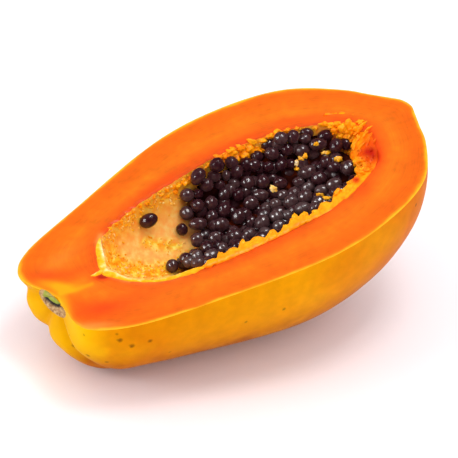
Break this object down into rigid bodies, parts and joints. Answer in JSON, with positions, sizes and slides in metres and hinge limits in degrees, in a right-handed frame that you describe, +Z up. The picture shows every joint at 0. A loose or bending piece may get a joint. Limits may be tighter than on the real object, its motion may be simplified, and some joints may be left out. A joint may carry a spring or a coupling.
{
  "type": "papaya half",
  "caption": "Ripe papaya half lying on its back, cut along the stem, with dark seeds heaped in its open hollow.",
  "frame": {"origin": "centre of the underside of the bounding box, on the surface the fruit lies on", "axes": "+X along the fruit towards its blossom end, +Y to the far side of the cut face, +Z up"},
  "size_m": [0.1764, 0.109, 0.071],
  "materials": {
    "flesh": "moist orange flesh with a thin waxy yellow skin",
    "seeds": "wet, dark brown seeds with a thin gel coat"
  },
  "bodies": {
    "root": {"flesh": "flesh", "seeds": "seeds"}
  },
  "joints": []
}
